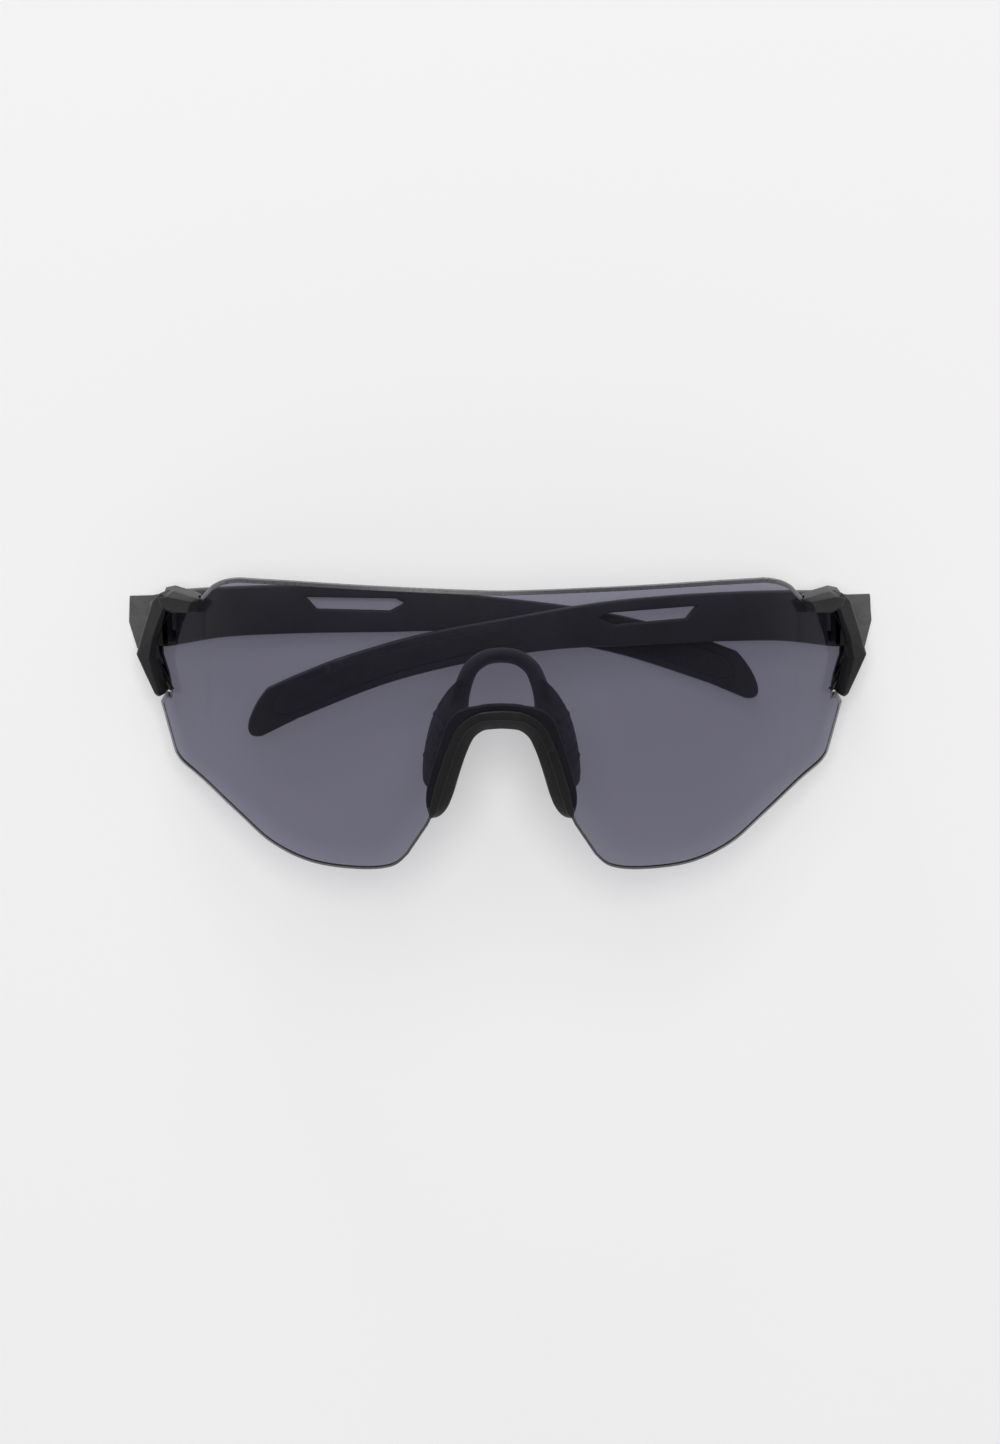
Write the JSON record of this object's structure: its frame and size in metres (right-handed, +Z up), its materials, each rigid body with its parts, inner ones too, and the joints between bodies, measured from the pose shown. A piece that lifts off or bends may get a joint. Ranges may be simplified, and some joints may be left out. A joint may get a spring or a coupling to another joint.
{
  "type": "wraparound sport sunglasses",
  "caption": "Rimless wraparound sport sunglasses with a smoked shield lens, corner brackets, folding temples and a soft nose piece.",
  "frame": {"origin": "under the middle of the folded glasses, on the surface that they lie on face up", "axes": "+X to the wearer's left, +Y towards the brow edge of the lens, +Z up, out through the front of the lens"},
  "size_m": [0.1494, 0.0566, 0.0498],
  "materials": {
    "lens": "polished smoke-grey polycarbonate",
    "frame": "fine matt moulded nylon, black",
    "temple": "fine matt moulded nylon, black",
    "grip": "soft black rubber with a pattern of small rings",
    "nose_rubber": "soft dark grey rubber",
    "screw": "turned steel",
    "nut": "turned brass"
  },
  "bodies": {
    "front": {"shield_lens": "lens", "end_piece_left": "frame", "end_piece_right": "frame", "hinge_screw_left": "screw", "hinge_screw_right": "screw", "hinge_nut_left": "nut", "hinge_nut_right": "nut", "nose_bridge": "frame", "nose_pad": "nose_rubber"},
    "temple_left": {"temple_left": "temple", "temple_grip_left": "grip"},
    "temple_right": {"temple_right": "temple", "temple_grip_right": "grip"}
  },
  "joints": [
    {"name": "temple_left_hinge", "type": "hinge", "parent": "front", "child": "temple_left", "pos_m": [0.06816, 0.01854, 0.0048], "axis": [0.0279, -0.9996, 0], "range_deg": [0, 95]},
    {"name": "temple_right_hinge", "type": "hinge", "parent": "front", "child": "temple_right", "pos_m": [-0.06784, 0.01854, 0.0048], "axis": [-0.0279, 0.9996, 0], "range_deg": [0, 90]}
  ]
}
